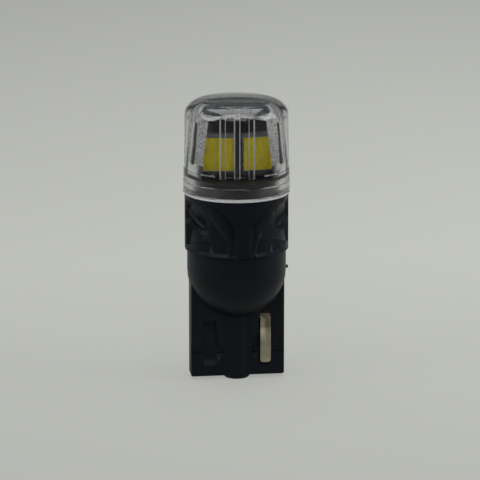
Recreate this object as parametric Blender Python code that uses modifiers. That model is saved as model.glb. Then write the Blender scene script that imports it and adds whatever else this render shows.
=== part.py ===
"""Wedge base LED bulb: a small lamp bulb that pushes into a flat socket.

A clear, ribbed lens cap sits on a black moulded housing. The housing has a sculpted collar and a bullet
shaped body, and ends in a flat wedge with a round stem. Two flat terminals lie on the faces of the wedge.
Behind the lens stands a circuit board with two LEDs on each face. Metres, +Z up, the origin under the stem.
"""

import math

import bmesh
import bpy
from mathutils import Matrix, Vector

MM = 0.001

# Fits between pieces that touch
SEAT_GAP = 0.03 * MM
SLIDE_GAP = 0.05 * MM

# Wedge and stem, which the socket grips
WEDGE_WIDTH = 9.3 * MM
WEDGE_THICKNESS = 2.1 * MM
WEDGE_LENGTH = 5.9 * MM
WEDGE_EDGE = 0.18 * MM
STEM_RADIUS = 1.32 * MM
STEM_PROUD = 0.31 * MM
STEM_EDGE = 0.12 * MM

# Shallow channels for the terminals and the groove that the socket's spring finds
CHANNEL_WIDTH = 1.3 * MM
CHANNEL_DEPTH = 0.14 * MM
CHANNEL_EDGE = 1.89 * MM
CHANNEL_FOOT = 1.05 * MM
GROOVE_HEIGHT = 0.62 * MM
GROOVE_LEVEL = 2.35 * MM

# Bullet shaped body
BULLET_PROUD = 0.22 * MM
BULLET_SHANK = 2.17 * MM
GATE_RADIUS = 0.16 * MM
GATE_PROUD = 0.24 * MM

# Sculpted collar
COLLAR_PROUD = 0.23 * MM
COLLAR_HEIGHT = 5.55 * MM
COLLAR_BAND = 0.5 * MM
COLLAR_STEP = 0.16 * MM
RIDGE_DEPTH = 0.22 * MM
FLANK_DEPTH = 0.32 * MM
SCALE_DEPTH = 0.6 * MM

# Spigot that carries the lens cap
SPIGOT_WALL = 1.31 * MM
SPIGOT_HEIGHT = 1.6 * MM

# Lens cap
LENS_HEIGHT = 9.35 * MM
LENS_SKIRT = 0.87 * MM
LENS_TURN = math.radians(-6.0)
LENS_INSET = 0.02 * MM
LENS_DRAFT = 0.06 * MM
RIM_FILLET = 1.5 * MM
DOME_RISE = 0.2 * MM
FLANGE_STEP = 0.05 * MM
FLANGE_HEIGHT = 1.32 * MM
SKIRT_HEIGHT = 2.5 * MM
SEAM_CHAMFER = 0.2 * MM
LENS_TOP_WALL = 1.67 * MM
CAVITY_DEPTH = 4.3 * MM
CAVITY_FOOT_SLOPE = 0.4 * MM
CAVITY_TOP_SLOPE = 0.76 * MM
CAVITY_DRAFT = 0.36 * MM
BOARD_SLOT_ROOM = 0.4 * MM
BOARD_SLOT_DRAFT = 0.26 * MM
BOARD_SLOT_DEPTH = 1.74 * MM
BAR_WIDTH = 0.5 * MM
BAR_DRAFT = 0.07 * MM
BAR_PITCH = 1.12 * MM
BAR_DEPTH = 0.22 * MM
BAR_START = 0.3 * MM
BAR_COUNT = 3

# LEDs
LED_LENGTH = 3.94 * MM
LED_HEIGHT = 0.7 * MM
LED_GAP = 0.5 * MM
LED_WALL = 0.06 * MM
LED_TOP_WALL = 0.4 * MM
LED_CUP_DEPTH = 0.3 * MM
LED_DROP = 1.11 * MM

# Circuit board
BOARD_EDGE = 0.25 * MM
BOARD_THICKNESS = 1.0 * MM
BOARD_TOP_GAP = 0.25 * MM
BOARD_ROOM = 0.16 * MM
BOARD_CORNER = 0.4 * MM
POCKET_ROOM = 0.12 * MM
POCKET_DEPTH = 3.8 * MM
POCKET_FLOOR = 4.0 * MM
TAIL_SLOT_DEPTH = 2.2 * MM
TAIL_SLOT_ROOM = 0.65 * MM

# Terminals
TERMINAL_WIDTH = 1.04 * MM
TERMINAL_THICKNESS = 0.2 * MM
TERMINAL_FOOT = 1.3 * MM
TERMINAL_TOP = 5.68 * MM
TERMINAL_JOGGLE = 0.45 * MM
TERMINAL_TAIL = 2.4 * MM
TERMINAL_TAIL_WIDTH = 0.6 * MM
TERMINAL_TAPER = 0.3 * MM
TERMINAL_CORNER = 0.3 * MM

# Solder joints, and small parts as width, height and depth
SOLDER_WIDTH = 0.84 * MM
SOLDER_RISE = 0.6 * MM
SOLDER_HEIGHT = 0.5 * MM
CHIP_EDGE = 0.08 * MM
CHIP_SPACE = 0.35 * MM
RECTIFIER_SIZE = (2.6 * MM, 2.8 * MM, 1.0 * MM)
DRIVER_SIZE = (2.6 * MM, 2.6 * MM, 0.9 * MM)
RESISTOR_SIZE = (3.2 * MM, 1.6 * MM, 0.55 * MM)
CAPACITOR_SIZE = (2.0 * MM, 1.25 * MM, 1.1 * MM)
DIODE_SIZE = (1.7 * MM, 1.25 * MM, 0.9 * MM)

# Levels and widths that follow
BULLET_RADIUS = WEDGE_WIDTH / 2 + BULLET_PROUD
COLLAR_RADIUS = BULLET_RADIUS + COLLAR_PROUD
LENS_RADIUS = COLLAR_RADIUS - LENS_INSET
SPIGOT_RADIUS = LENS_RADIUS - LENS_SKIRT
BOARD_FACE = BOARD_THICKNESS / 2
BOARD_WIDTH = 2 * (SPIGOT_RADIUS - SPIGOT_WALL)
LED_WIDTH = (BOARD_WIDTH - LED_GAP) / 2 - BOARD_EDGE
CHANNEL_OFFSET = WEDGE_WIDTH / 2 - CHANNEL_EDGE
WEDGE_FOOT = STEM_PROUD
BULLET_TIP = WEDGE_FOOT + WEDGE_LENGTH
BULLET_CENTRE = BULLET_TIP + BULLET_RADIUS
COLLAR_FOOT = BULLET_CENTRE + BULLET_SHANK
COLLAR_TOP = COLLAR_FOOT + COLLAR_HEIGHT
SPIGOT_TOP = COLLAR_TOP + SPIGOT_HEIGHT
LENS_FOOT = COLLAR_TOP + SEAT_GAP
LENS_TOP = COLLAR_TOP + LENS_HEIGHT
LENS_SHOULDER = SPIGOT_TOP + SLIDE_GAP
LENS_CEILING = LENS_TOP - DOME_RISE - LENS_TOP_WALL
BOARD_TOP = LENS_CEILING - BOARD_TOP_GAP
POCKET_FOOT = BULLET_TIP + POCKET_FLOOR
TAIL_SLOT_FOOT = POCKET_FOOT - TAIL_SLOT_DEPTH
BOARD_FOOT = TAIL_SLOT_FOOT + SLIDE_GAP
LED_LEVEL = BOARD_TOP - LED_DROP - LED_LENGTH / 2
LED_FACE = BOARD_FACE + SEAT_GAP + LED_HEIGHT
WEDGE_FACE = WEDGE_THICKNESS / 2
CHANNEL_FLOOR = WEDGE_FACE - CHANNEL_DEPTH
TERMINAL_OUTER = CHANNEL_FLOOR + SEAT_GAP
TERMINAL_INNER = BOARD_FACE + SEAT_GAP
TAIL_OFFSET = CHANNEL_OFFSET - (TERMINAL_WIDTH - TERMINAL_TAIL_WIDTH) / 2

TURN_STEPS = 96
SIDES = {"front": -1, "back": 1}

for old_object in list(bpy.data.objects):
    bpy.data.objects.remove(old_object, do_unlink=True)

bulb = bpy.data.collections.new("wedge_base_led_bulb")
cutters = bpy.data.collections.new("cutters")
bpy.context.scene.collection.children.link(bulb)
bpy.context.scene.collection.children.link(cutters)
cutters.hide_render = True


def plain_material(name, colour, roughness, metallic=0.0, transmission=0.0):
    """A Principled material with one colour."""
    material = bpy.data.materials.new(name)
    material.use_nodes = True
    shader = material.node_tree.nodes["Principled BSDF"]
    shader.inputs["Base Color"].default_value = (*colour, 1.0)
    shader.inputs["Roughness"].default_value = roughness
    shader.inputs["Metallic"].default_value = metallic
    shader.inputs["Transmission Weight"].default_value = transmission
    material.diffuse_color = (*colour, 1.0)
    return material


def add_piece(name, mesh, material=None):
    """A named piece of the bulb, or a cutter where it has no material."""
    piece = bpy.data.objects.new(name, mesh)
    if material is None:
        cutters.objects.link(piece)
        piece.hide_render = True
        piece.display_type = "WIRE"
    else:
        bulb.objects.link(piece)
        mesh.materials.append(material)
    return piece


def mesh_of(name, shape):
    """The bmesh as a mesh whose faces point outwards."""
    bmesh.ops.recalc_face_normals(shape, faces=shape.faces)
    mesh = bpy.data.meshes.new(name)
    shape.to_mesh(mesh)
    shape.free()
    return mesh


def smooth(piece, angle=32):
    """Round surfaces look round, and edges sharper than the angle stay sharp."""
    piece.data.shade_smooth()
    piece.data.set_sharp_from_angle(angle=math.radians(angle))


def turned(name, profile, material=None, steps=TURN_STEPS):
    """A body turned about Z from (radius, height) points that run down its outer side."""
    mesh = bpy.data.meshes.new(name)
    points = [(radius, 0.0, height) for radius, height in profile]
    mesh.from_pydata(points, [(i, i + 1) for i in range(len(points) - 1)], [])
    piece = add_piece(name, mesh, material)
    screw = piece.modifiers.new("turn", "SCREW")
    screw.steps = steps
    screw.render_steps = steps
    screw.use_merge_vertices = True
    screw.merge_threshold = 0.000001
    return piece


def block(name, low, high, material=None, edge=0.0, segments=2):
    """A box between two corners, with rounded edges where an edge radius is given."""
    shape = bmesh.new()
    size = Vector(high) - Vector(low)
    middle = (Vector(high) + Vector(low)) / 2
    matrix = Matrix.Translation(middle) @ Matrix.Diagonal((*size, 1.0))
    bmesh.ops.create_cube(shape, size=1.0, matrix=matrix)
    piece = add_piece(name, mesh_of(name, shape), material)
    if edge:
        bevel = piece.modifiers.new("edges", "BEVEL")
        bevel.width = edge
        bevel.segments = segments
        bevel.limit_method = "ANGLE"
    return piece


def rod(name, start, end, radius, material=None, sides=32):
    """A round bar from start to end."""
    shape = bmesh.new()
    run = Vector(end) - Vector(start)
    middle = (Vector(end) + Vector(start)) / 2
    turn = Vector((0, 0, 1)).rotation_difference(run).to_matrix().to_4x4()
    bmesh.ops.create_cone(
        shape,
        cap_ends=True,
        segments=sides,
        radius1=radius,
        radius2=radius,
        depth=run.length,
        matrix=Matrix.Translation(middle) @ turn,
    )
    return add_piece(name, mesh_of(name, shape), material)


def combine(piece, other, operation):
    """Joins, cuts or keeps what the two share, and leaves the other piece as a guide."""
    step = piece.modifiers.new(other.name, "BOOLEAN")
    step.operation = operation
    step.solver = "EXACT"
    step.object = other


def settle(piece):
    """Turns the piece's modifiers into plain mesh."""
    bpy.context.view_layer.update()
    graph = bpy.context.evaluated_depsgraph_get()
    mesh = bpy.data.meshes.new_from_object(piece.evaluated_get(graph))
    piece.modifiers.clear()
    piece.data = mesh


# Housing: collar levels run from 0 at its foot to 1 at its top, angles from 0 at a column to 90 at a side

COLLAR_ANGLES = (0, 4, 8.2, 9.8, 13, 16.2, 17.8, 21, 25, 29, 33, 36, 38.2, 39.8, 44, 48, 52, 56.5, 61, 66, 71)
COLLAR_ANGLES += (76, 80, 85, 90)
COLUMN_EDGE = 9.0
COLUMN_START = 0.51
COLUMN_RISE = 0.355
COLUMN_SPREAD = 19.0
COLUMN_POWER = 1.5
FAN_EDGE = 17.0
FAN_START = 0.17
FAN_RISE = 0.57
FAN_SPREAD = 28.0
FAN_POWER = 1.4
SCALE_EDGE = 39.0
SCALES_SPREAD = 25.0
RIB_EDGE = 85.0
EDGE_HALF = 0.006
ROW_LEAST = 0.004
LIP_FOOT = 0.02
LIP_TOP = 0.07
BAND_FOOT = 1.0 - COLLAR_BAND / COLLAR_HEIGHT
BAND_SOFT = 0.02


def line(angle, start, end):
    """A level that runs straight between two (angle, level) points."""
    share = (angle - start[0]) / (end[0] - start[0])
    return start[1] + share * (end[1] - start[1])


def scale_lines(angle):
    """The levels where the three scales begin and end, from the lowest up."""
    return [
        line(angle, (80, 0.11), (40, 0.29)),
        line(angle, (80, 0.47), (40, 0.333)),
        line(angle, (80, 0.55), (40, 0.414)),
        line(angle, (80, 0.730), (40, 0.423)),
        line(angle, (80, 0.766), (40, 0.532)),
    ]


def column_level(angle):
    """The level at which the column's flaring edge reaches the angle."""
    share = max((angle - COLUMN_EDGE) / COLUMN_SPREAD, 0.0)
    return COLUMN_START + COLUMN_RISE * share ** (1.0 / COLUMN_POWER)


def fan_level(angle):
    """The level at which the fan's flaring edge reaches the angle."""
    share = max((angle - FAN_EDGE) / FAN_SPREAD, 0.0)
    return FAN_START + FAN_RISE * share ** (1.0 / FAN_POWER)


def collar_rows(angle):
    """The levels of one column's vertices, so that the mesh's rows follow every edge of the relief."""
    fan = min(fan_level(angle), BAND_FOOT)
    column = min(column_level(angle), BAND_FOOT)
    scales = []
    for level in scale_lines(max(angle, FAN_EDGE)):
        scales += [level - EDGE_HALF, level + EDGE_HALF]
    flat_share = min(max((SCALE_EDGE - angle) / (SCALE_EDGE - SCALES_SPREAD), 0.0), 1.0)
    for i in range(len(scales)):
        even = LIP_TOP + (fan - LIP_TOP) * (i + 1) / (len(scales) + 1)
        scales[i] += (even - scales[i]) * flat_share
    rows = [0.0, LIP_FOOT, LIP_TOP, (LIP_TOP + scales[0]) / 2, *scales]
    rows += [(scales[-1] + fan) / 2, fan - EDGE_HALF, fan + EDGE_HALF, (fan + column) / 2]
    rows += [column - EDGE_HALF, column + EDGE_HALF, (column + BAND_FOOT) / 2]
    rows += [BAND_FOOT - BAND_SOFT, BAND_FOOT, 1.0]
    for i in range(1, len(rows)):
        rows[i] = max(rows[i], rows[i - 1] + ROW_LEAST)
    rows[-1] = 1.0
    for i in range(len(rows) - 2, 0, -1):
        rows[i] = min(rows[i], rows[i + 1] - ROW_LEAST)
    return rows


def collar_inset(angle, level):
    """How far the collar's surface lies inside its outer radius.

    The column is proud. A ridge follows each side of it, then a flank, and past the flank come three
    scales, one under another, each proud at its lower edge. A rib runs up each side.
    """
    if level < LIP_TOP or level > BAND_FOOT - ROW_LEAST or angle >= RIB_EDGE:
        return 0.0
    column = COLUMN_EDGE + COLUMN_SPREAD * max((level - COLUMN_START) / COLUMN_RISE, 0.0) ** COLUMN_POWER
    fan = FAN_EDGE + FAN_SPREAD * max((level - FAN_START) / FAN_RISE, 0.0) ** FAN_POWER
    third_foot, second_foot, second_top, first_foot, first_top = scale_lines(angle)
    if angle < column:
        inset = 0.0
    elif angle < fan:
        across = (angle - column) / (fan - column)
        inset = RIDGE_DEPTH * (1.0 - 0.75 * math.sin(math.pi * across) ** 2)
    elif angle < SCALE_EDGE or level > first_top:
        inset = FLANK_DEPTH
    elif level > first_foot:
        inset = SCALE_DEPTH * line(level, (first_foot, 0.1), (first_top, 0.9))
    elif level > second_top:
        inset = SCALE_DEPTH
    elif level > second_foot:
        inset = SCALE_DEPTH * line(level, (second_foot, 0.25), (second_top, 0.85))
    elif level > third_foot:
        inset = SCALE_DEPTH * line(level, (third_foot, 0.45), (second_foot, 0.95))
    else:
        inset = SCALE_DEPTH * 0.12
    return inset


black_plastic = plain_material("black_plastic", (0.02, 0.02, 0.022), 0.42)

COLLAR_ROWS = len(collar_rows(0.0)) - 1
TIP_ROWS = 10
profile = [(0.0, COLLAR_TOP)]
for row in range(COLLAR_ROWS + 1):
    profile.append((COLLAR_RADIUS, COLLAR_TOP - COLLAR_HEIGHT * row / COLLAR_ROWS))
profile.append((BULLET_RADIUS, COLLAR_FOOT - COLLAR_STEP))
for row in range(TIP_ROWS):
    angle = math.pi / 2 * row / TIP_ROWS
    height = BULLET_CENTRE - BULLET_RADIUS * math.sin(angle)
    profile.append((BULLET_RADIUS * math.cos(angle), height))
profile.append((0.0, BULLET_TIP))

housing = turned("housing", profile, black_plastic)
settle(housing)
step_angle = 360 / TURN_STEPS
for vertex in housing.data.vertices:
    x, y, z = vertex.co
    radius = math.hypot(x, y)
    if radius < SEAT_GAP:
        continue
    step = round(math.degrees(math.atan2(abs(x), abs(y))) / step_angle)
    angle = COLLAR_ANGLES[step]
    level = (z - COLLAR_FOOT) / COLLAR_HEIGHT
    if level > -EDGE_HALF and radius > (BULLET_RADIUS + COLLAR_RADIUS) / 2:
        level = collar_rows(angle)[round(level * COLLAR_ROWS)]
        radius = COLLAR_RADIUS - collar_inset(angle, level)
        z = COLLAR_FOOT + COLLAR_HEIGHT * level
    turn = math.radians(angle)
    vertex.co = (
        math.copysign(radius * math.sin(turn), x),
        math.copysign(radius * math.cos(turn), y),
        z,
    )

# Wedge, stem and spigot join the body

REACH = 1.0 * MM
wedge = block(
    "wedge",
    (-WEDGE_WIDTH / 2, -WEDGE_FACE, WEDGE_FOOT),
    (WEDGE_WIDTH / 2, WEDGE_FACE, BULLET_CENTRE),
    edge=WEDGE_EDGE,
)
combine(housing, wedge, "UNION")

stem = turned(
    "stem",
    [
        (0.0, BULLET_CENTRE),
        (STEM_RADIUS, BULLET_CENTRE),
        (STEM_RADIUS, STEM_EDGE),
        (STEM_RADIUS - STEM_EDGE, 0.0),
        (0.0, 0.0),
    ],
    steps=48,
)
combine(housing, stem, "UNION")

gate = rod(
    "gate",
    (BULLET_RADIUS - REACH, 0.0, BULLET_CENTRE),
    (BULLET_RADIUS + GATE_PROUD, 0.0, BULLET_CENTRE),
    GATE_RADIUS,
    sides=12,
)
combine(housing, gate, "UNION")

spigot = turned(
    "spigot",
    [
        (0.0, SPIGOT_TOP),
        (SPIGOT_RADIUS, SPIGOT_TOP),
        (SPIGOT_RADIUS, COLLAR_TOP - REACH),
        (0.0, COLLAR_TOP - REACH),
    ],
    steps=64,
)
combine(housing, spigot, "UNION")

# The pocket that takes the board, its tail slot, and the slots that lead the terminals out

pocket_half = BOARD_WIDTH / 2 + POCKET_ROOM
pocket = block(
    "pocket",
    (-pocket_half, -POCKET_DEPTH / 2, POCKET_FOOT),
    (pocket_half, POCKET_DEPTH / 2, SPIGOT_TOP + REACH),
)
combine(housing, pocket, "DIFFERENCE")

tail_half = BOARD_WIDTH / 2 + SLIDE_GAP
tail_depth = BOARD_FACE + TAIL_SLOT_ROOM
tail_slot = block(
    "tail_slot",
    (-tail_half, -tail_depth, TAIL_SLOT_FOOT),
    (tail_half, tail_depth, POCKET_FOOT + REACH),
)
combine(housing, tail_slot, "DIFFERENCE")

exit_half = TERMINAL_WIDTH / 2 + SLIDE_GAP
terminal_bend = WEDGE_FOOT + TERMINAL_TOP
for side, sign in SIDES.items():
    middle = -sign * CHANNEL_OFFSET
    near = sign * (BOARD_FACE - SLIDE_GAP)
    far = sign * (BULLET_RADIUS + REACH)
    rise = sign * (TERMINAL_INNER + TERMINAL_THICKNESS + SLIDE_GAP)
    window = block(
        f"terminal_window_{side}",
        (middle - exit_half, min(near, far), terminal_bend - TERMINAL_THICKNESS),
        (middle + exit_half, max(near, far), terminal_bend + TERMINAL_JOGGLE + TERMINAL_THICKNESS),
    )
    combine(housing, window, "DIFFERENCE")
    shaft = block(
        f"terminal_shaft_{side}",
        (middle - exit_half, min(near, rise), terminal_bend),
        (middle + exit_half, max(near, rise), TAIL_SLOT_FOOT + REACH),
    )
    combine(housing, shaft, "DIFFERENCE")
    for channel_name, channel_sign in (("left", -1), ("right", 1)):
        centre = channel_sign * CHANNEL_OFFSET
        channel = block(
            f"channel_{side}_{channel_name}",
            (centre - CHANNEL_WIDTH / 2, min(sign * CHANNEL_FLOOR, far), WEDGE_FOOT + CHANNEL_FOOT),
            (centre + CHANNEL_WIDTH / 2, max(sign * CHANNEL_FLOOR, far), terminal_bend),
        )
        combine(housing, channel, "DIFFERENCE")
        inner = channel_sign * (STEM_RADIUS + SLIDE_GAP)
        outer = channel_sign * (WEDGE_WIDTH / 2 + REACH)
        groove = block(
            f"groove_{side}_{channel_name}",
            (min(inner, outer), min(sign * CHANNEL_FLOOR, far), WEDGE_FOOT + GROOVE_LEVEL),
            (max(inner, outer), max(sign * CHANNEL_FLOOR, far), WEDGE_FOOT + GROOVE_LEVEL + GROOVE_HEIGHT),
        )
        combine(housing, groove, "DIFFERENCE")
settle(housing)
smooth(housing)

# The lens cap: a clear moulding with a bore for the spigot and a tapered hollow for the board

clear_plastic = plain_material("clear_plastic", (0.93, 0.94, 0.94), 0.05, transmission=1.0)

DOME_POINTS = 4
FILLET_POINTS = 8
skirt_radius = LENS_RADIUS + LENS_DRAFT + FLANGE_STEP
skirt_top = LENS_FOOT + SKIRT_HEIGHT
flange_radius = skirt_radius + FLANGE_STEP
flange_top = LENS_FOOT + FLANGE_HEIGHT
fillet_centre = (LENS_RADIUS - RIM_FILLET, LENS_TOP - DOME_RISE - RIM_FILLET)
profile = []
for step in range(DOME_POINTS + 1):
    share = step / DOME_POINTS
    profile.append((fillet_centre[0] * share, LENS_TOP - DOME_RISE * share * share))
for step in range(1, FILLET_POINTS + 1):
    angle = math.pi / 2 * (1 - step / FILLET_POINTS)
    radius = fillet_centre[0] + RIM_FILLET * math.cos(angle)
    profile.append((radius, fillet_centre[1] + RIM_FILLET * math.sin(angle)))
profile += [
    (LENS_RADIUS + LENS_DRAFT, skirt_top + FLANGE_STEP),
    (skirt_radius, skirt_top),
    (skirt_radius, flange_top + FLANGE_STEP),
    (flange_radius, flange_top),
    (flange_radius, LENS_FOOT + SEAM_CHAMFER),
    (flange_radius - SEAM_CHAMFER, LENS_FOOT),
    (0.0, LENS_FOOT),
]
lens_cap = turned("lens_cap", profile, clear_plastic, steps=72)

bore = turned(
    "lens_bore",
    [
        (0.0, LENS_SHOULDER),
        (SPIGOT_RADIUS + SLIDE_GAP, LENS_SHOULDER),
        (SPIGOT_RADIUS + SLIDE_GAP, LENS_FOOT - REACH),
        (0.0, LENS_FOOT - REACH),
    ],
    steps=64,
)
combine(lens_cap, bore, "DIFFERENCE")

lens_turn = Matrix.Rotation(LENS_TURN, 3, "Z")


def hollow_section(half_width, half_depth, slope, height):
    """The hollow's six corners: flat front and back faces, and sides that bulge at the board."""
    front = half_width - slope
    corners = [
        (front, -half_depth),
        (half_width, 0.0),
        (front, half_depth),
        (-front, half_depth),
        (-half_width, 0.0),
        (-front, -half_depth),
    ]
    return [lens_turn @ Vector((x, y, height)) for x, y in corners]


def lofted(name, lower, upper):
    """A solid between two sections that have as many corners."""
    shape = bmesh.new()
    low = [shape.verts.new(corner) for corner in lower]
    high = [shape.verts.new(corner) for corner in upper]
    shape.faces.new(low)
    shape.faces.new(high)
    for i in range(len(low)):
        j = (i + 1) % len(low)
        shape.faces.new((low[i], low[j], high[j], high[i]))
    return add_piece(name, mesh_of(name, shape))


hollow_top = BOARD_WIDTH / 2 + BOARD_ROOM
hollow_foot = hollow_top + CAVITY_DRAFT
hollow = lofted(
    "lens_hollow",
    hollow_section(hollow_foot, CAVITY_DEPTH / 2, CAVITY_FOOT_SLOPE, LENS_SHOULDER - SLIDE_GAP),
    hollow_section(hollow_top, CAVITY_DEPTH / 2, CAVITY_TOP_SLOPE, LENS_CEILING),
)
combine(lens_cap, hollow, "DIFFERENCE")

# A slot across the hollow leaves room for the board's edges


def slot_section(x, height):
    """The slot's four corners at a height, x from the axis."""
    y = BOARD_SLOT_DEPTH / 2
    return [lens_turn @ Vector((a, b, height)) for a, b in ((x, -y), (x, y), (-x, y), (-x, -y))]


slot_top = BOARD_WIDTH / 2 + BOARD_SLOT_ROOM
board_slot = lofted(
    "lens_board_slot",
    slot_section(slot_top + BOARD_SLOT_DRAFT, LENS_SHOULDER - SLIDE_GAP),
    slot_section(slot_top, LENS_CEILING - BOARD_TOP_GAP / 2),
)
combine(lens_cap, board_slot, "DIFFERENCE")

# Grooves on the hollow's front and back faces, with sloped walls, open at the ceiling, round at the foot

BAR_END_STEPS = 8


def bar_outline(across, depth, half_width):
    """A groove's outline at one depth: a half circle at the foot and straight sides up to the ceiling."""
    end_height = LENS_SHOULDER + BAR_START + BAR_WIDTH / 2
    points = []
    for step in range(BAR_END_STEPS + 1):
        angle = math.pi * (1 + step / BAR_END_STEPS)
        x = across + half_width * math.cos(angle)
        points.append((x, end_height + half_width * math.sin(angle)))
    points.append((across + half_width, LENS_CEILING + SLIDE_GAP))
    points.append((across - half_width, LENS_CEILING + SLIDE_GAP))
    return [lens_turn @ Vector((x, depth, z)) for x, z in points]


for side, sign in SIDES.items():
    for count in range(BAR_COUNT):
        across = (count - (BAR_COUNT - 1) / 2) * BAR_PITCH
        near = sign * (CAVITY_DEPTH / 2 - BAR_DEPTH)
        far = sign * (CAVITY_DEPTH / 2 + BAR_DEPTH)
        bar = lofted(
            f"lens_bar_{side}_{count + 1}",
            bar_outline(across, near, BAR_WIDTH / 2 + BAR_DRAFT),
            bar_outline(across, far, BAR_WIDTH / 2 - BAR_DRAFT),
        )
        combine(lens_cap, bar, "DIFFERENCE")
settle(lens_cap)
smooth(lens_cap)

# The circuit board stands upright in the pocket, and its tail sits in the slot

board_lacquer = plain_material("board_lacquer", (0.03, 0.03, 0.035), 0.45)
circuit_board = block(
    "circuit_board",
    (-BOARD_WIDTH / 2, -BOARD_FACE, BOARD_FOOT),
    (BOARD_WIDTH / 2, BOARD_FACE, BOARD_TOP),
    board_lacquer,
)
corner_bevel = circuit_board.modifiers.new("corners", "BEVEL")
corner_bevel.width = BOARD_CORNER
corner_bevel.segments = 3
corner_bevel.limit_method = "WEIGHT"
weights = circuit_board.data.attributes.new("bevel_weight_edge", "FLOAT", "EDGE")
for edge in circuit_board.data.edges:
    ends = [circuit_board.data.vertices[i].co for i in edge.vertices]
    if abs(ends[0].y - ends[1].y) > BOARD_FACE and ends[0].z > BOARD_FOOT + REACH:
        weights.data[edge.index].value = 1.0

# Each LED is a white package with a cup, which a yellow phosphor gel fills

white_package = plain_material("white_package", (0.82, 0.82, 0.8), 0.5)
phosphor_gel = plain_material("phosphor_gel", (0.78, 0.68, 0.12), 0.35)

for side, sign in SIDES.items():
    seat = BOARD_FACE + SEAT_GAP
    for place, across in (("left", -1), ("right", 1)):
        middle = across * (LED_WIDTH + LED_GAP) / 2
        ends = sorted((sign * seat, sign * LED_FACE))
        package = block(
            f"led_package_{side}_{place}",
            (middle - LED_WIDTH / 2, ends[0], LED_LEVEL - LED_LENGTH / 2),
            (middle + LED_WIDTH / 2, ends[1], LED_LEVEL + LED_LENGTH / 2),
            white_package,
        )
        cup_half = LED_WIDTH / 2 - LED_WALL
        cup_foot = LED_LEVEL - LED_LENGTH / 2 + LED_WALL
        cup_top = LED_LEVEL + LED_LENGTH / 2 - LED_TOP_WALL
        mouth = sorted((sign * (LED_FACE - LED_CUP_DEPTH), sign * (LED_FACE + REACH)))
        cup = block(
            f"led_cup_{side}_{place}",
            (middle - cup_half, mouth[0], cup_foot),
            (middle + cup_half, mouth[1], cup_top),
        )
        combine(package, cup, "DIFFERENCE")
        gel_half = cup_half - SEAT_GAP
        gel = sorted((sign * (LED_FACE - LED_CUP_DEPTH + SEAT_GAP), sign * (LED_FACE - SEAT_GAP)))
        block(
            f"phosphor_{side}_{place}",
            (middle - gel_half, gel[0], cup_foot + SEAT_GAP),
            (middle + gel_half, gel[1], cup_top - SEAT_GAP),
            phosphor_gel,
        )

# Terminals: flat strips on the wedge's faces that step inwards at the top and run up beside the board

tinned_metal = plain_material("tinned_metal", (0.62, 0.6, 0.54), 0.35, metallic=1.0)
solder_metal = plain_material("solder_metal", (0.72, 0.72, 0.72), 0.3, metallic=1.0)

CORNER_STEPS = 5


def terminal_strip(name, sign):
    """An open ribbon along the strip's inner side, given its thickness outwards by Solidify."""
    outer = sign * TERMINAL_OUTER
    inner = sign * TERMINAL_INNER
    foot = WEDGE_FOOT + TERMINAL_FOOT
    top = terminal_bend + TERMINAL_JOGGLE
    half = TERMINAL_WIDTH / 2
    rows = []
    for step in range(CORNER_STEPS + 1):
        drop = TERMINAL_CORNER * (1 - step / CORNER_STEPS)
        inward = TERMINAL_CORNER - math.sqrt(TERMINAL_CORNER**2 - drop**2)
        rows.append((outer, foot + TERMINAL_CORNER - drop, CHANNEL_OFFSET, half - inward))
    rows.append((outer, terminal_bend, CHANNEL_OFFSET, half))
    rows.append((inner, top, CHANNEL_OFFSET, half))
    rows.append((inner, top + TERMINAL_TAPER, TAIL_OFFSET, TERMINAL_TAIL_WIDTH / 2))
    rows.append((inner, TAIL_SLOT_FOOT + TERMINAL_TAIL, TAIL_OFFSET, TERMINAL_TAIL_WIDTH / 2))
    shape = bmesh.new()
    pairs = []
    for depth, height, offset, width in rows:
        left = shape.verts.new((-sign * offset - width, depth, height))
        right = shape.verts.new((-sign * offset + width, depth, height))
        pairs.append((left, right))
    for (a, b), (c, d) in zip(pairs, pairs[1:]):
        shape.faces.new((a, b, d, c) if sign < 0 else (a, c, d, b))
    mesh = bpy.data.meshes.new(name)
    shape.to_mesh(mesh)
    shape.free()
    piece = add_piece(name, mesh, tinned_metal)
    wall = piece.modifiers.new("thickness", "SOLIDIFY")
    wall.thickness = TERMINAL_THICKNESS
    wall.offset = 1.0
    return piece


tail_room = TERMINAL_TAIL_WIDTH / 2 + SEAT_GAP
for side, sign in SIDES.items():
    terminal_strip(f"terminal_{side}", sign)
    middle = -sign * TAIL_OFFSET
    strip_top = TAIL_SLOT_FOOT + TERMINAL_TAIL
    shape = bmesh.new()
    place = Matrix.Translation((middle, sign * BOARD_FACE, strip_top))
    form = Matrix.Diagonal((SOLDER_WIDTH / 2, SOLDER_HEIGHT, SOLDER_RISE, 1.0))
    bmesh.ops.create_uvsphere(shape, u_segments=20, v_segments=12, radius=1.0, matrix=place @ form)
    solder = add_piece(f"solder_joint_{side}", mesh_of(f"solder_joint_{side}", shape), solder_metal)
    face = sign * (BOARD_FACE + SEAT_GAP)
    far = -sign * REACH
    behind = block(
        f"solder_board_{side}",
        (middle - REACH, min(face, far), strip_top - REACH),
        (middle + REACH, max(face, far), strip_top + REACH),
    )
    combine(solder, behind, "DIFFERENCE")
    strip_face = sign * (TERMINAL_INNER + TERMINAL_THICKNESS + SEAT_GAP)
    around = block(
        f"solder_strip_{side}",
        (middle - tail_room, min(0.0, strip_face), strip_top - REACH),
        (middle + tail_room, max(0.0, strip_face), strip_top + SEAT_GAP),
    )
    combine(solder, around, "DIFFERENCE")
    settle(solder)
    smooth(solder)

# Small parts on the board inside the collar: rectifier, driver, resistors, diode and capacitor

black_epoxy = plain_material("black_epoxy", (0.035, 0.035, 0.035), 0.5)
resistor_ceramic = plain_material("resistor_ceramic", (0.12, 0.12, 0.13), 0.4)
capacitor_ceramic = plain_material("capacitor_ceramic", (0.45, 0.33, 0.22), 0.45)

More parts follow.
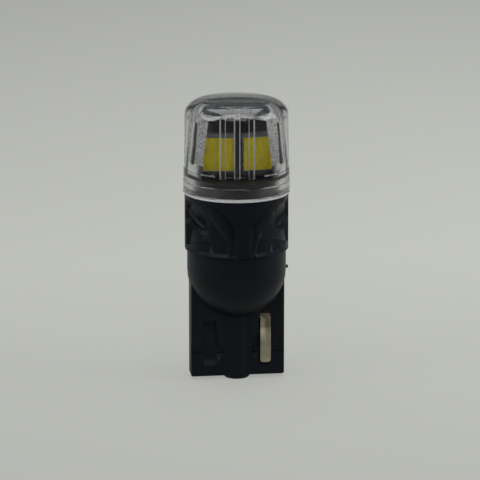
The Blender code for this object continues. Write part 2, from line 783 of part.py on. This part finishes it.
CHIP_PARTS = {
    "front": [
        ("rectifier", RECTIFIER_SIZE, black_epoxy),
        ("resistor_front_lower", RESISTOR_SIZE, resistor_ceramic),
        ("resistor_front_upper", RESISTOR_SIZE, resistor_ceramic),
    ],
    "back": [
        ("driver_chip", DRIVER_SIZE, black_epoxy),
        ("capacitor", CAPACITOR_SIZE, capacitor_ceramic),
        ("resistor_back", RESISTOR_SIZE, resistor_ceramic),
        ("diode", DIODE_SIZE, black_epoxy),
    ],
}
parts_foot = TAIL_SLOT_FOOT + TERMINAL_TAIL + SOLDER_RISE + CHIP_SPACE
for side, sign in SIDES.items():
    level = parts_foot
    for name, (width, height, depth), material in CHIP_PARTS[side]:
        seat = BOARD_FACE + SEAT_GAP
        ends = sorted((sign * seat, sign * (seat + depth)))
        block(
            name,
            (-width / 2, ends[0], level),
            (width / 2, ends[1], level + height),
            material,
            edge=CHIP_EDGE,
            segments=1,
        )
        level += height + CHIP_SPACE
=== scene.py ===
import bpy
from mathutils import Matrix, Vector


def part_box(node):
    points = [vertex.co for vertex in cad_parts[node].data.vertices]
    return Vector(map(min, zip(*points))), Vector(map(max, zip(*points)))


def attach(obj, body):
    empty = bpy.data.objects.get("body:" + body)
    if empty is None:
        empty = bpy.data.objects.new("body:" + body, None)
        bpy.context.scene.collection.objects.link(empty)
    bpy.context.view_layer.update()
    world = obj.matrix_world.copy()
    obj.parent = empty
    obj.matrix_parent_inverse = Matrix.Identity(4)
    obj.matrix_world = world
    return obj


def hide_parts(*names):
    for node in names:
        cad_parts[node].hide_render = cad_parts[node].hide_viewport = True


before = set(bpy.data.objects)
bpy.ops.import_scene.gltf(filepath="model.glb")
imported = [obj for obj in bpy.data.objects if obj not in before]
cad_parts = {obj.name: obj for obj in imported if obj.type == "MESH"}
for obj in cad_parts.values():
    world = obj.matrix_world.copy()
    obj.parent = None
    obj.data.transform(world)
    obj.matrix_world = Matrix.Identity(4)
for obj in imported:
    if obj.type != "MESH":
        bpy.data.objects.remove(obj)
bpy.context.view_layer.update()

import math

import bpy
from mathutils import Matrix, Vector

MM = 0.001

# Housing: one black thermoplastic moulding with a sculpted collar, a bullet shaped body and a flat wedge.
# It comes out of a two-part mould with a satin finish, and keeps a small gate mark on its right side.
# The lens cap sits on its collar and grips the spigot that stands up inside the cap.

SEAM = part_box("lens_cap")[0][2] - 0.03 * MM
SPIGOT_BAND = 0.02 * MM
SPIGOT_LIFT = 0.055 * MM
COLLAR_RADIUS = 5.1 * MM
FLANK_RADIUS = COLLAR_RADIUS - 0.32 * MM
SCALES_FOOT = SEAM - 5.5 * MM
SCALES_TOP = SEAM - 0.1 * MM
SCALES_INSIDE = 4.3 * MM
SCALES_OUTSIDE = COLLAR_RADIUS - 0.02 * MM
FLANK_TURN = 38.5
SCALES_TURN = 57.0


def make_active(piece):
    """Selects this piece alone, for the mesh tools."""
    for shown in bpy.context.selected_objects:
        shown.select_set(False)
    piece.select_set(True)
    bpy.context.view_layer.objects.active = piece


def smooth_copy(node, name, merge=0.002 * MM, angle=30):
    """A copy of a CAD node with its loose triangles merged and its round faces smooth."""
    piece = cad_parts[node].copy()
    piece.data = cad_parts[node].data.copy()
    piece.name = name
    piece.data.name = name
    piece.parent = None
    bpy.context.scene.collection.objects.link(piece)
    make_active(piece)
    bpy.ops.object.mode_set(mode="EDIT")
    bpy.ops.mesh.select_all(action="SELECT")
    bpy.ops.mesh.remove_doubles(threshold=merge)
    bpy.ops.mesh.tris_convert_to_quads()
    bpy.ops.object.mode_set(mode="OBJECT")
    bpy.ops.object.shade_smooth_by_angle(angle=math.radians(angle))
    return piece


def set_inputs(node, settings):
    """Sets the constants on a node's sockets."""
    for socket, value in settings.items():
        node.inputs[socket].default_value = value


def new_material(name, settings):
    """A material with its node tree and its shader, whose sockets have the given settings."""
    material = bpy.data.materials.new(name)
    material.use_nodes = True
    tree = material.node_tree
    shader = tree.nodes["Principled BSDF"]
    set_inputs(shader, settings)
    return material, tree, shader


def own_place(tree):
    """The place on the piece itself, so that a pattern stays with the piece when it moves."""
    return tree.nodes.new("ShaderNodeTexCoord").outputs["Object"]


def cloudy(tree, place, scale, detail=2):
    """A soft random pattern with values round a half."""
    cloud = tree.nodes.new("ShaderNodeTexNoise")
    set_inputs(cloud, {"Scale": scale, "Detail": detail})
    tree.links.new(place, cloud.inputs["Vector"])
    return cloud.outputs["Fac"]


def ranged(tree, value, start, end, low, high):
    """A value that goes from low to high while the given one goes from start to end."""
    step = tree.nodes.new("ShaderNodeMapRange")
    set_inputs(step, {"From Min": start, "From Max": end, "To Min": low, "To Max": high})
    tree.links.new(value, step.inputs["Value"])
    return step.outputs["Result"]


def toned(tree, value, first, last, stops=()):
    """A colour ramp through (position, colour) stops, the first and the last ones given by themselves."""
    ramp = tree.nodes.new("ShaderNodeValToRGB")
    for element, (position, colour) in zip(ramp.color_ramp.elements, (first, last)):
        element.position = position
        element.color = (*colour, 1)
    for position, colour in stops:
        ramp.color_ramp.elements.new(position).color = (*colour, 1)
    tree.links.new(value, ramp.inputs["Fac"])
    return ramp.outputs["Color"]


def roughened(tree, shader, value, strength, distance):
    """Raises and sinks the shader's surface by the given value."""
    bump = tree.nodes.new("ShaderNodeBump")
    set_inputs(bump, {"Strength": strength, "Distance": distance})
    tree.links.new(value, bump.inputs["Height"])
    tree.links.new(bump.outputs["Normal"], shader.inputs["Normal"])


def mottled(name, dark, light, scale, settings):
    """A material whose colour wanders between two tones."""
    material, tree, shader = new_material(name, settings)
    tone = toned(tree, cloudy(tree, own_place(tree), scale, 4), (0.35, dark), (0.65, light))
    tree.links.new(tone, shader.inputs["Base Color"])
    return material


def dress(piece, material):
    """Makes the piece of one material alone."""
    piece.data.materials.clear()
    piece.data.materials.append(material)


black_plastic, tree, shader = new_material("satin_black_plastic", {
    "Specular IOR Level": 0.14,
    "Specular Tint": (0.9, 0.95, 1.0, 1),
})
place = own_place(tree)
grain = cloudy(tree, place, 9000, 3)
cloud = cloudy(tree, place, 420, 4)
tone = toned(tree, cloud, (0.0, (0.002, 0.0024, 0.0046)), (1.0, (0.004, 0.0046, 0.008)))
tree.links.new(tone, shader.inputs["Base Color"])
tree.links.new(ranged(tree, cloud, 0.0, 1.0, 0.34, 0.5), shader.inputs["Roughness"])
roughened(tree, shader, grain, 0.25, 0.02 * MM)

housing = smooth_copy("housing", "housing_moulding", angle=12)
spigot_top = max(vertex.co.z for vertex in housing.data.vertices)
for vertex in housing.data.vertices:
    if vertex.co.z > spigot_top - SPIGOT_BAND:
        vertex.co.z = spigot_top + SPIGOT_LIFT

# The three scales at each side rise softly out of the flank beside them.
for vertex in housing.data.vertices:
    x, y, z = vertex.co
    radius = math.hypot(x, y)
    turn = math.degrees(math.atan2(abs(x), abs(y)))
    beside = FLANK_TURN < turn < SCALES_TURN and SCALES_INSIDE < radius < SCALES_OUTSIDE
    if beside and SCALES_FOOT < z < SCALES_TOP:
        share = (turn - FLANK_TURN) / (SCALES_TURN - FLANK_TURN)
        share = share * share * (3 - 2 * share)
        risen = FLANK_RADIUS + (radius - FLANK_RADIUS) * share
        vertex.co.x = x * risen / radius
        vertex.co.y = y * risen / radius
dress(housing, black_plastic)
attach(housing, "root")
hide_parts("housing")

# Lens cap: one clear polycarbonate moulding with a thick wall, pushed over the housing's spigot.
# Its hollow tapers upwards, with frosted sides and an etched ceiling that a narrow sloped strip runs round;
# painted shade darkens the ceiling, the sides' foot and their edge-on faces.
# Round-ended grooves run up its front and back walls, and a slot and a notch above take the board's end.

lens_low, lens_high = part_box("lens_cap")
LENS_FOOT = lens_low[2]
LENS_TOP = SEAM + 9.35 * MM
LENS_TURN = math.radians(-6.0)
LENS_RADIUS = 5.08 * MM
LENS_DRAFT = 0.06 * MM
LENS_SMOOTHING = math.radians(28)
FLANGE_RADIUS = lens_high[0]
FLANGE_TOP = LENS_FOOT + 1.32 * MM
FLANGE_ROUND = 0.08 * MM
STEP_TOP = LENS_FOOT + 2.5 * MM
STEP_OUT = 0.05 * MM
STEP_RADIUS = LENS_RADIUS + LENS_DRAFT + STEP_OUT
FOOT_ROUND = 0.1 * MM
FOOT_BAND = 0.22 * MM
FOOT_GROOVE = 0.2 * MM
RIM_FILLET = 1.5 * MM
RIM_ARC = math.radians(83.5)
RIM_STEPS = 16
DOME_EDGE = LENS_RADIUS - RIM_FILLET
DOME_RISE = 0.2 * MM
DOME_STEPS = 8
BORE_RADIUS = 4.26 * MM
SHOULDER = SEAM + 1.65 * MM
CEILING = SEAM + 7.5 * MM
SIDE_FOOT = SEAM + 3.0 * MM
BAND_HEIGHT = 0.02 * MM
BAND_INSET = 0.12 * MM
BAND_FLARE = 0.36 * MM
HOLLOW_START = SHOULDER - 0.2 * MM
HOLLOW_RISE = CEILING - HOLLOW_START
HOLLOW_FOOT = 3.6 * MM
HOLLOW_TOP = 3.24 * MM
HOLLOW_DEPTH = 2.15 * MM
HOLLOW_STEPS = 12
FOOT_SLOPE = 0.58 * MM
TOP_SLOPE = 0.94 * MM
NOTCH_WIDTH = 5.6 * MM
NOTCH_DEPTH = 1.2 * MM
NOTCH_RISE = 0.4 * MM
SLOT_WIDTH = 6.9 * MM
SLOT_DRAFT = 0.35 * MM
SLOT_DEPTH = 1.74 * MM
SLOT_DROP = 0.3 * MM
SLOT_LIFT = 1.4 * MM
GROOVE_WIDTH = 0.5 * MM
GROOVE_DRAFT = 0.09 * MM
GROOVE_PITCH = 1.12 * MM
GROOVE_DEPTH = 0.22 * MM
GROOVE_FOOT = SHOULDER + 0.05 * MM
GROOVE_ROUND = 0.14 * MM
GROOVE_STEPS = 15
TURN_STEPS = 144
WELD = 0.0005 * MM


def face_outwards(piece):
    """Turns all the faces of a closed body outwards."""
    make_active(piece)
    bpy.ops.object.mode_set(mode="EDIT")
    bpy.ops.mesh.select_all(action="SELECT")
    bpy.ops.mesh.normals_make_consistent(inside=False)
    bpy.ops.object.mode_set(mode="OBJECT")


def spun(name, profile):
    """A closed body spun about Z from (radius, height) points."""
    mesh = bpy.data.meshes.new(name)
    points = [(radius, 0.0, height) for radius, height in profile]
    mesh.from_pydata(points, [(i, i + 1) for i in range(len(points) - 1)], [])
    piece = bpy.data.objects.new(name, mesh)
    bpy.context.scene.collection.objects.link(piece)
    make_active(piece)
    bpy.ops.object.mode_set(mode="EDIT")
    bpy.ops.mesh.select_all(action="SELECT")
    bpy.ops.mesh.spin(steps=TURN_STEPS, angle=math.tau, center=(0, 0, 0), axis=(0, 0, 1))
    bpy.ops.mesh.select_all(action="SELECT")
    bpy.ops.mesh.remove_doubles(threshold=WELD)
    bpy.ops.object.mode_set(mode="OBJECT")
    face_outwards(piece)
    return piece


def raised_outline(name, outline, heights):
    """A closed body: a flat outline of (x, y) points, extruded upwards from z = 0 in stages."""
    bpy.ops.mesh.primitive_circle_add(vertices=len(outline), fill_type="NGON")
    piece = bpy.context.object
    piece.name = name
    for vertex, (x, y) in zip(piece.data.vertices, outline):
        vertex.co = (x, y, 0.0)
    make_active(piece)
    bpy.ops.object.mode_set(mode="EDIT")
    bpy.ops.mesh.select_all(action="SELECT")
    for height in heights:
        bpy.ops.mesh.extrude_region_move(TRANSFORM_OT_translate={"value": (0, 0, height)})
    bpy.ops.object.mode_set(mode="OBJECT")
    face_outwards(piece)
    return piece


def rectangle(width, depth):
    """The corners of a rectangle with its middle on the axis."""
    x, y = width / 2, depth / 2
    return [(x, -y), (x, y), (-x, y), (-x, -y)]


def put_in_order(mesh):
    """Gives the corners and faces of a cut mesh one fixed order, as a cut leaves them in a random one.

    A face with more corners than a quad also starts at a fixed one, because that decides how it is split.
    """
    points = [tuple(vertex.co) for vertex in mesh.vertices]
    order = sorted(range(len(points)), key=points.__getitem__)
    rank = {old: new for new, old in enumerate(order)}
    faces = []
    for face in mesh.polygons:
        corners = [rank[corner] for corner in face.vertices]
        first = corners.index(min(corners)) if len(corners) > 4 else 0
        faces.append(corners[first:] + corners[:first])
    mesh.clear_geometry()
    mesh.from_pydata([points[old] for old in order], [], sorted(faces))


def cut(piece, cutter, turn):
    """Turns the cutter about Z, cuts it out of the piece and removes it."""
    cutter.rotation_euler.z = turn
    step = piece.modifiers.new("cut", "BOOLEAN")
    step.operation = "DIFFERENCE"
    step.solver = "EXACT"
    step.object = cutter
    make_active(piece)
    bpy.ops.object.modifier_apply(modifier=step.name)
    bpy.data.objects.remove(cutter, do_unlink=True)
    put_in_order(piece.data)


profile = []
for step in range(DOME_STEPS + 1):
    radius = (DOME_EDGE + RIM_FILLET * math.cos(RIM_ARC)) * step / DOME_STEPS
    profile.append((radius, LENS_TOP - DOME_RISE * (radius / DOME_EDGE) ** 2))
for step in range(1, RIM_STEPS + 1):
    angle = RIM_ARC * (1 - step / RIM_STEPS)
    height = LENS_TOP - DOME_RISE - RIM_FILLET * (1 - math.sin(angle))
    profile.append((DOME_EDGE + RIM_FILLET * math.cos(angle), height))
profile += [
    (LENS_RADIUS + LENS_DRAFT, STEP_TOP + FLANGE_ROUND),
    (LENS_RADIUS + LENS_DRAFT + STEP_OUT * 0.7, STEP_TOP),
    (STEP_RADIUS, STEP_TOP - FLANGE_ROUND / 2),
    (STEP_RADIUS, FLANGE_TOP + FLANGE_ROUND),
    (FLANGE_RADIUS - FLANGE_ROUND / 3, FLANGE_TOP),
    (FLANGE_RADIUS, FLANGE_TOP - FLANGE_ROUND / 2),
    (FLANGE_RADIUS, LENS_FOOT + FOOT_BAND + FOOT_GROOVE),
    (FLANGE_RADIUS - FOOT_GROOVE / 2, LENS_FOOT + FOOT_BAND + FOOT_GROOVE / 2),
    (FLANGE_RADIUS, LENS_FOOT + FOOT_BAND),
    (FLANGE_RADIUS, LENS_FOOT + FOOT_ROUND),
    (FLANGE_RADIUS - 0.3 * FOOT_ROUND, LENS_FOOT + 0.3 * FOOT_ROUND),
    (FLANGE_RADIUS - FOOT_ROUND, LENS_FOOT),
    (BORE_RADIUS, LENS_FOOT),
    (BORE_RADIUS, SHOULDER),
    (0.0, SHOULDER),
]
lens = spun("lens_moulding", profile)

# The hollow is a long hexagon in plan, and the strip round its ceiling leans inwards.
outline = [(HOLLOW_FOOT, 0.0)]
for step in range(HOLLOW_STEPS + 1):
    outline.append((HOLLOW_FOOT * (1 - step / (HOLLOW_STEPS / 2)), HOLLOW_DEPTH))
outline += [(-x, -y) for x, y in outline]
side_rise = SIDE_FOOT - HOLLOW_START
stages = [side_rise, HOLLOW_RISE - side_rise - BAND_HEIGHT, BAND_HEIGHT]
hollow = raised_outline("hollow", outline, stages)
for vertex in hollow.data.vertices:
    x, y, z = vertex.co
    share = z / HOLLOW_RISE
    across = x / HOLLOW_FOOT
    width = HOLLOW_FOOT + (HOLLOW_TOP - HOLLOW_FOOT) * share
    slope = FOOT_SLOPE + (TOP_SLOPE - FOOT_SLOPE) * share
    on_ceiling = z > HOLLOW_RISE - BAND_HEIGHT / 2
    inset = BAND_INSET + BAND_FLARE * across ** 2 if on_ceiling else 0.0
    vertex.co.x = across * (width - slope * abs(y) / HOLLOW_DEPTH)
    vertex.co.y = y * (1 - inset / HOLLOW_DEPTH)
    vertex.co.z = HOLLOW_START + z
cut(lens, hollow, LENS_TURN)

board_notch = raised_outline("board_notch", rectangle(NOTCH_WIDTH, NOTCH_DEPTH), [2 * NOTCH_RISE])
board_notch.location.z = CEILING - NOTCH_RISE
cut(lens, board_notch, LENS_TURN)

slot_rise = HOLLOW_RISE - SLOT_LIFT - SLOT_DROP
board_slot = raised_outline("board_slot", rectangle(SLOT_WIDTH, SLOT_DEPTH), [slot_rise])
for vertex in board_slot.data.vertices:
    if vertex.co.z > 0:
        vertex.co.x -= math.copysign(SLOT_DRAFT, vertex.co.x)
    vertex.co.z += HOLLOW_START + SLOT_LIFT
cut(lens, board_slot, LENS_TURN)

half = GROOVE_WIDTH / 2
groove_rise = CEILING - BAND_HEIGHT - GROOVE_FOOT
outline = [(-half, groove_rise), (half, groove_rise)]
for step in range(GROOVE_STEPS + 1):
    angle = math.pi * step / GROOVE_STEPS
    corner = math.copysign(half - GROOVE_ROUND, math.cos(angle))
    across = corner + GROOVE_ROUND * math.cos(angle)
    outline.append((across, GROOVE_ROUND * (1 - math.sin(angle))))
for side in (-1, 1):
    for count in (-1, 0, 1):
        groove = raised_outline("groove", outline, [2 * GROOVE_DEPTH])
        for vertex in groove.data.vertices:
            x, z, depth = vertex.co
            deep = depth > GROOVE_DEPTH
            share = 1 + (-1 if deep else 1) * GROOVE_DRAFT / half
            z = half + (z - half) * share if z < half else z
            y = side * (HOLLOW_DEPTH + depth - GROOVE_DEPTH)
            vertex.co = (count * GROOVE_PITCH + x * share, y, GROOVE_FOOT + z)
        face_outwards(groove)
        cut(lens, groove, LENS_TURN)

IOR = 1.585

clear_plastic, tree, shader = new_material("clear_polycarbonate", {
    "Base Color": (0.74, 0.75, 0.755, 1),
    "Transmission Weight": 1.0,
    "IOR": IOR,
    "Roughness": 0.0,
})
roughened(tree, shader, cloudy(tree, own_place(tree), 500), 0.05, 0.01 * MM)

frosted_plastic, tree, shader = new_material("frosted_polycarbonate", {
    "Transmission Weight": 0.5,
    "IOR": IOR,
})
pits = cloudy(tree, own_place(tree), 7000)
tone = toned(tree, pits, (0.42, (0.24, 0.245, 0.25)), (0.58, (0.96, 0.96, 0.96)))
tree.links.new(tone, shader.inputs["Base Color"])
tree.links.new(ranged(tree, pits, 0.0, 1.0, 0.35, 0.6), shader.inputs["Roughness"])

ground_plastic = mottled("ground_polycarbonate", (0.62, 0.63, 0.64), (0.80, 0.81, 0.81), 7000, {
    "Roughness": 0.5,
    "Transmission Weight": 0.3,
    "IOR": IOR,
})
# Painted shade: the etched ceiling is coloured dark bluish grey for the shade of the hollow seen through
# it.
etched_painted_shade_plastic = mottled("etched_polycarbonate_painted_shade", (0.055, 0.062, 0.072), (0.165, 0.17, 0.18), 5000, {
    "Roughness": 0.5,
    "Specular IOR Level": 0.0,
    "IOR": IOR,
})

window_plastic, tree, shader = new_material("drawn_polycarbonate", {
    "Transmission Weight": 1.0,
    "IOR": IOR,
    "Roughness": 0.12,
})
stretch = tree.nodes.new("ShaderNodeMapping")
set_inputs(stretch, {"Scale": (1.0, 1.0, 0.3)})
tree.links.new(own_place(tree), stretch.inputs["Vector"])
streak = cloudy(tree, stretch.outputs["Vector"], 3500)
tone = toned(tree, streak, (0.38, (0.82, 0.82, 0.82)), (0.62, (1.0, 1.0, 1.0)))
tree.links.new(tone, shader.inputs["Base Color"])
roughened(tree, shader, streak, 0.5, 0.05 * MM)

# Painted shade: clear plastic tinted near black, on the bore round the spigot and on the hollow's edge-on
# faces and lower sides, where shade falls.
shade_tinted_plastic, tree, shader = new_material("satin_polycarbonate_painted_shade", {
    "Base Color": (0.03, 0.03, 0.036, 1),
    "Transmission Weight": 1.0,
    "IOR": IOR,
})
pits = cloudy(tree, own_place(tree), 4000)
tree.links.new(ranged(tree, pits, 0.0, 1.0, 0.14, 0.26), shader.inputs["Roughness"])

# Each face of the lens gets its finish, or the painted shade, from where it is and which way it faces.
OUTER_WALL = 4.6 * MM
CLOSE = 0.01 * MM
HAIR = 0.001 * MM
FACE_ON = 0.7
EDGE_ON = 0.05
FACE_DOWN = -0.95
dress(lens, clear_plastic)
for plastic in (frosted_plastic, window_plastic, shade_tinted_plastic, ground_plastic, etched_painted_shade_plastic):
    lens.data.materials.append(plastic)
CLEAR, FROSTED, WINDOW, SHADE_TINT, GROUND, ETCHED_SHADE = range(6)
turn_back = Matrix.Rotation(-LENS_TURN, 3, "Z")
for face in lens.data.polygons:
    spot = turn_back @ face.center
    facing = turn_back @ face.normal
    if math.hypot(spot.x, spot.y) > OUTER_WALL:
        finish_or_shade = GROUND if spot.z < LENS_FOOT + FOOT_BAND else CLEAR
    elif spot.z < SHOULDER + CLOSE:
        finish_or_shade = SHADE_TINT
    elif spot.z > CEILING + CLOSE:
        finish_or_shade = CLEAR
    elif spot.z > CEILING - HAIR:
        finish_or_shade = ETCHED_SHADE
    elif spot.z > CEILING - BAND_HEIGHT + HAIR:
        finish_or_shade = FROSTED
    elif facing.z < FACE_DOWN:
        finish_or_shade = CLEAR
    elif HOLLOW_DEPTH + CLOSE < abs(spot.y) < HOLLOW_DEPTH + GROOVE_DEPTH - CLOSE:
        finish_or_shade = GROUND
    elif abs(facing.y) < EDGE_ON:
        finish_or_shade = SHADE_TINT
    elif abs(facing.y) > FACE_ON and abs(spot.y) < SLOT_DEPTH / 2 + CLOSE:
        finish_or_shade = CLEAR
    elif abs(facing.y) < FACE_ON:
        finish_or_shade = FROSTED if spot.z > SIDE_FOOT else SHADE_TINT
    else:
        finish_or_shade = WINDOW
    face.material_index = finish_or_shade
make_active(lens)
bpy.ops.object.shade_smooth_by_angle(angle=LENS_SMOOTHING)
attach(lens, "root")
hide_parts("lens_cap")

# Circuit board: glass fibre with a black lacquer on both faces. It stands upright on the bulb's axis, from
# the wedge to the lens, and carries the LEDs at its upper end.

board_lacquer = mottled("black_board_lacquer", (0.003, 0.003, 0.005), (0.007, 0.007, 0.010), 2500, {
    "Roughness": 0.45,
    "Specular IOR Level": 0.15,
})
dress(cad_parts["circuit_board"], board_lacquer)

# LEDs: two white moulded packages side by side on each face of the board, soldered to it. Each has a cup
# that a yellow phosphor gel fills up to its rim.

white_package = mottled("white_led_package", (0.17, 0.167, 0.185), (0.24, 0.235, 0.255), 1500, {
    "Roughness": 0.45,
})
phosphor_gel = mottled("yellow_phosphor_gel", (0.95, 0.70, 0.0), (1.0, 0.86, 0.0), 3000, {
    "Roughness": 0.6,
    "Specular IOR Level": 0.1,
})
for side in ("front", "back"):
    for hand in ("left", "right"):
        dress(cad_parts[f"led_package_{side}_{hand}"], white_package)
        dress(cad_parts[f"phosphor_{side}_{hand}"], phosphor_gel)

# Terminals: tinned brass strips that lie on the wedge's faces and step inwards under the bullet's tip.
# Their tin is dull, and a painted shade darkens its colour near the top, under the bullet's tip.

TOP_SHADE_START = 5.0 * MM
TOP_SHADE_END = 5.3 * MM

tinned_metal, tree, shader = new_material("dull_tinned_strip", {
    "Roughness": 0.42,
    "Metallic": 1.0,
})
place = own_place(tree)
tin = cloudy(tree, place, 1200, 4)
tone = toned(tree, tin, (0.35, (0.31, 0.28, 0.205)), (0.65, (0.42, 0.38, 0.285)))
split = tree.nodes.new("ShaderNodeSeparateXYZ")
tree.links.new(place, split.inputs["Vector"])
# Painted shade: the tin's colour darkens towards the strip's top, where the bullet's tip shades it.
painted_top_shade = ranged(tree, split.outputs["Z"], TOP_SHADE_START, TOP_SHADE_END, 0.96, 0.5)
top_shaded_tin = tree.nodes.new("ShaderNodeVectorMath")
top_shaded_tin.operation = "SCALE"
tree.links.new(tone, top_shaded_tin.inputs["Vector"])
tree.links.new(painted_top_shade, top_shaded_tin.inputs["Scale"])
tree.links.new(top_shaded_tin.outputs["Vector"], shader.inputs["Base Color"])

for side in ("front", "back"):
    terminal = smooth_copy(f"terminal_{side}", f"terminal_strip_{side}")
    dress(terminal, tinned_metal)
    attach(terminal, "root")
    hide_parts(f"terminal_{side}")

# Solder: a bright fillet of tin alloy on each face of the board, inside the housing. It joins the
# terminal's tail to the board.

solder_tin = mottled("bright_solder", (0.50, 0.50, 0.49), (0.68, 0.68, 0.67), 3000, {
    "Roughness": 0.28,
    "Metallic": 1.0,
})
for side in ("front", "back"):
    joint = smooth_copy(f"solder_joint_{side}", f"solder_fillet_{side}")
    dress(joint, solder_tin)
    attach(joint, "root")
    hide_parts(f"solder_joint_{side}")

# Small parts on the board, inside the housing: the rectifier, driver chip and diode are moulded in black
# epoxy, the resistors are glazed thick film chips, and the capacitor is a brown ceramic block.

black_epoxy = mottled("moulded_black_epoxy", (0.012, 0.012, 0.013), (0.03, 0.03, 0.032), 6000, {
    "Roughness": 0.55,
})
resistor_glaze = mottled("dark_resistor_glaze", (0.03, 0.03, 0.035), (0.06, 0.06, 0.065), 2000, {
    "Roughness": 0.3,
})
brown_ceramic = mottled("brown_capacitor_ceramic", (0.26, 0.17, 0.10), (0.36, 0.25, 0.16), 4000, {
    "Roughness": 0.4,
})
for node in ("rectifier", "driver_chip", "diode"):
    dress(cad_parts[node], black_epoxy)
for node in ("resistor_front_lower", "resistor_front_upper", "resistor_back"):
    dress(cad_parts[node], resistor_glaze)
dress(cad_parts["capacitor"], brown_ceramic)

# Stage: a pale paper sweep under and behind the bulb, which ends on a dark table some way in front of it.
# Soft light falls on the bulb from above, from the front and from both sides.

PAPER_WIDTH = 3.0
PAPER_FRONT = -0.1
PAPER_BACK = 0.235
PAPER_TONE = (0.45, 0.459, 0.43)
PAPER_SIDE = 0.04
PAPER_GLOW = 0.75
LIGHT_AIM = (0, 0, 0.015)
FRAME_PIXELS = 480
FOCAL_PIXELS = 2879
VIEW_TURN = math.radians(-7.5)
VIEW_PITCH = math.radians(14.0)
VIEW_DISTANCE = 283.4 * MM
VIEW_LEVEL = 13.9 * MM
VIEW_LEFT_PIXELS = 3.5

bpy.ops.mesh.primitive_plane_add(size=PAPER_WIDTH)
floor = bpy.context.object
floor.name = "paper_floor"
paper, tree, shader = new_material("pale_paper", {"Roughness": 0.7})
place = own_place(tree)
split = tree.nodes.new("ShaderNodeSeparateXYZ")
tree.links.new(place, split.inputs["Vector"])
reach = ranged(tree, split.outputs["Y"], PAPER_FRONT, PAPER_BACK, 0.0, 1.0)
# Painted light: the paper's tone is lighter in a band behind the bulb and darker towards its far end.
dark_table = (0.0, (0.06, 0.062, 0.065))
far_paper = (1.0, (0.44, 0.449, 0.421))
paper_with_painted_light = ((0.12, PAPER_TONE), (0.194, PAPER_TONE), (0.436, (0.518, 0.528, 0.495)))
tone = toned(tree, reach, dark_table, far_paper, paper_with_painted_light)
tree.links.new(tone, shader.inputs["Base Color"])
roughened(tree, shader, cloudy(tree, place, 900), 0.05, 0.05 * MM)

# Seen by the camera, in reflections and through the lens, most of the paper's look is its own glowing tone,
# with painted light that fades towards its left side.
glowing_tone = tree.nodes.new("ShaderNodeEmission")
painted_side_light = ranged(tree, split.outputs["X"], -PAPER_SIDE, PAPER_SIDE, 0.91, 1.02)
tree.links.new(tone, glowing_tone.inputs["Color"])
tree.links.new(painted_side_light, glowing_tone.inputs["Strength"])
rays = tree.nodes.new("ShaderNodeLightPath")
seen = rays.outputs["Is Camera Ray"]
for ray in ("Is Glossy Ray", "Is Transmission Ray"):
    either = tree.nodes.new("ShaderNodeMath")
    either.use_clamp = True
    tree.links.new(seen, either.inputs[0])
    tree.links.new(rays.outputs[ray], either.inputs[1])
    seen = either.outputs["Value"]
glow = tree.nodes.new("ShaderNodeMath")
glow.operation = "MULTIPLY"
glow.inputs[1].default_value = PAPER_GLOW
tree.links.new(seen, glow.inputs[0])
blend = tree.nodes.new("ShaderNodeMixShader")
tree.links.new(glow.outputs["Value"], blend.inputs["Fac"])
tree.links.new(shader.outputs["BSDF"], blend.inputs[1])
tree.links.new(glowing_tone.outputs["Emission"], blend.inputs[2])
tree.links.new(blend.outputs["Shader"], tree.nodes["Material Output"].inputs["Surface"])
dress(floor, paper)

# The room behind the camera is darker than the paper and the wall beyond the bulb.
world = bpy.data.worlds.new("studio")
bpy.context.scene.world = world
world.use_nodes = True
tree = world.node_tree
backdrop = tree.nodes["Background"]
look = tree.nodes.new("ShaderNodeTexCoord")
split = tree.nodes.new("ShaderNodeSeparateXYZ")
tree.links.new(look.outputs["Generated"], split.inputs["Vector"])
depth = ranged(tree, split.outputs["Y"], -1.0, 1.0, 0.0, 1.0)
room = toned(tree, depth, (0.3, (0.055, 0.063, 0.074)), (0.85, (0.46, 0.48, 0.45)))
tree.links.new(room, backdrop.inputs["Color"])
tree.links.new(ranged(tree, split.outputs["Z"], 0.06, 0.2, 1.0, 0.2), backdrop.inputs["Strength"])


def soft_light(name, place, width, power):
    """A square softbox that faces the bulb."""
    data = bpy.data.lights.new(name, "AREA")
    data.shape = "SQUARE"
    data.size = width
    data.energy = power
    lamp = bpy.data.objects.new(name, data)
    lamp.location = place
    lamp.rotation_euler = (Vector(LIGHT_AIM) - Vector(place)).to_track_quat("-Z", "Y").to_euler()
    bpy.context.scene.collection.objects.link(lamp)


soft_light("overhead_softbox", (0, 0.02, 0.35), 0.35, 1.15)
soft_light("front_softbox", (-0.05, -0.28, 0.3), 0.35, 0.6)
soft_light("right_softbox", (0.35, -0.1, 0.2), 0.25, 0.72)
soft_light("left_softbox", (-0.35, -0.1, 0.2), 0.25, 0.56)

level_way = Vector((math.sin(VIEW_TURN), -math.cos(VIEW_TURN), 0))
way = level_way * math.cos(VIEW_PITCH) + Vector((0, 0, math.sin(VIEW_PITCH)))
rightward = Vector((math.cos(VIEW_TURN), math.sin(VIEW_TURN), 0))
shift = VIEW_LEFT_PIXELS / FOCAL_PIXELS * VIEW_DISTANCE
camera_data = bpy.data.cameras.new("camera")
camera_data.lens = FOCAL_PIXELS / FRAME_PIXELS * camera_data.sensor_width
camera_data.clip_start = 0.01
camera = bpy.data.objects.new("camera", camera_data)
camera.location = Vector((0, 0, VIEW_LEVEL)) + rightward * shift + way * VIEW_DISTANCE
camera.rotation_euler = (-way).to_track_quat("-Z", "Y").to_euler()
bpy.context.scene.collection.objects.link(camera)
bpy.context.scene.camera = camera
bpy.context.scene.view_settings.view_transform = "Standard"
